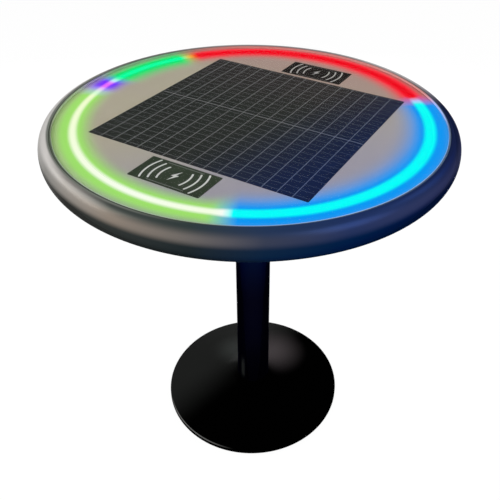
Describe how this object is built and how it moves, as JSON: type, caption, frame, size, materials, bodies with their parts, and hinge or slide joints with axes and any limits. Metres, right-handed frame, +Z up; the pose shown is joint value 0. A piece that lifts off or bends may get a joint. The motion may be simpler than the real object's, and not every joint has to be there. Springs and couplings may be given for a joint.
{
  "type": "light up pedestal table",
  "caption": "Round pedestal table with a clear glass top over a solar panel, wireless charging pads and a ring of coloured light, on a steel column and a low trumpet base.",
  "frame": {"origin": "on the table's axis, at the floor", "axes": "+Z up; +X across the narrow strips of the solar panel and +Y along them, so the front charging pad and the switches are on the -Y side"},
  "size_m": [0.774, 0.774, 0.75],
  "materials": {
    "rim_metal": "satin",
    "clear_glass": "gloss",
    "black_rubber": "matte",
    "grey_deck": "satin",
    "milky_silicone": "satin",
    "strip_white": "satin",
    "solar_cell": "gloss",
    "pad_grey": "satin",
    "black_plastic": "satin",
    "cable_black": "matte",
    "button_grey": "satin",
    "circuit_board": "gloss",
    "ferrite": "matte",
    "copper": "satin",
    "pan_black": "satin",
    "zinc_steel": "satin",
    "battery_blue": "satin",
    "satin_black": "satin",
    "cast_iron": "matte",
    "glide_black": "matte"
  },
  "bodies": {
    "table": {"rim_ring": "rim_metal", "glass_top": "clear_glass", "glass_gasket": "black_rubber", "deck_board": "grey_deck", "light_tube": "milky_silicone", "led_strip": "strip_white", "solar_laminate": "solar_cell", "solar_junction_box": "black_plastic", "charge_pad_front": "pad_grey", "charge_pad_rear": "pad_grey", "charger_tray_front": "black_plastic", "charger_tray_rear": "black_plastic", "charger_board_front": "circuit_board", "charger_board_rear": "circuit_board", "charger_ferrite_front": "ferrite", "charger_ferrite_rear": "ferrite", "charger_coil_front": "copper", "charger_coil_rear": "copper", "underside_pan": "pan_black", "support_spider": "zinc_steel", "deck_post_1": "black_rubber", "deck_post_2": "black_rubber", "deck_post_3": "black_rubber", "deck_post_4": "black_rubber", "battery_pack": "battery_blue", "battery_strap_1": "zinc_steel", "battery_strap_2": "zinc_steel", "charge_controller": "black_plastic", "led_controller": "black_plastic", "battery_lead": "cable_black", "solar_lead": "cable_black", "charger_lead_front": "cable_black", "charger_lead_rear": "cable_black", "controller_lead": "cable_black", "strip_lead": "cable_black", "power_switch_lead": "cable_black", "mode_switch_lead": "cable_black", "power_switch_body": "black_plastic", "mode_switch_body": "black_plastic", "top_plate": "satin_black", "plate_bolt_1": "zinc_steel", "plate_bolt_2": "zinc_steel", "plate_bolt_3": "zinc_steel", "plate_bolt_4": "zinc_steel", "column_tube": "satin_black", "tie_rod": "zinc_steel", "upper_rod_nut": "zinc_steel", "lower_rod_nut": "zinc_steel", "base_cover": "satin_black", "base_weight": "cast_iron"},
    "power_rocker": {"power_rocker": "black_plastic"},
    "mode_button": {"mode_button": "button_grey"},
    "glide_1": {"glide_1": "glide_black"},
    "glide_2": {"glide_2": "glide_black"},
    "glide_3": {"glide_3": "glide_black"},
    "glide_4": {"glide_4": "glide_black"}
  },
  "joints": [
    {"name": "power_rock", "type": "hinge", "parent": "table", "child": "power_rocker", "pos_m": [-0.022, -0.3, 0.6945], "axis": [0, 1, 0], "range_deg": [0, 20]},
    {"name": "mode_press", "type": "slide", "parent": "table", "child": "mode_button", "axis": [0, 0, 1], "range_m": [0, 0.0015], "stiffness_N_per_m": 300},
    {"name": "glide_screw_1", "type": "slide", "parent": "table", "child": "glide_1", "axis": [0, 0, -1], "range_m": [0, 0.006]},
    {"name": "glide_screw_2", "type": "slide", "parent": "table", "child": "glide_2", "axis": [0, 0, -1], "range_m": [0, 0.006]},
    {"name": "glide_screw_3", "type": "slide", "parent": "table", "child": "glide_3", "axis": [0, 0, -1], "range_m": [0, 0.006]},
    {"name": "glide_screw_4", "type": "slide", "parent": "table", "child": "glide_4", "axis": [0, 0, -1], "range_m": [0, 0.006]}
  ]
}
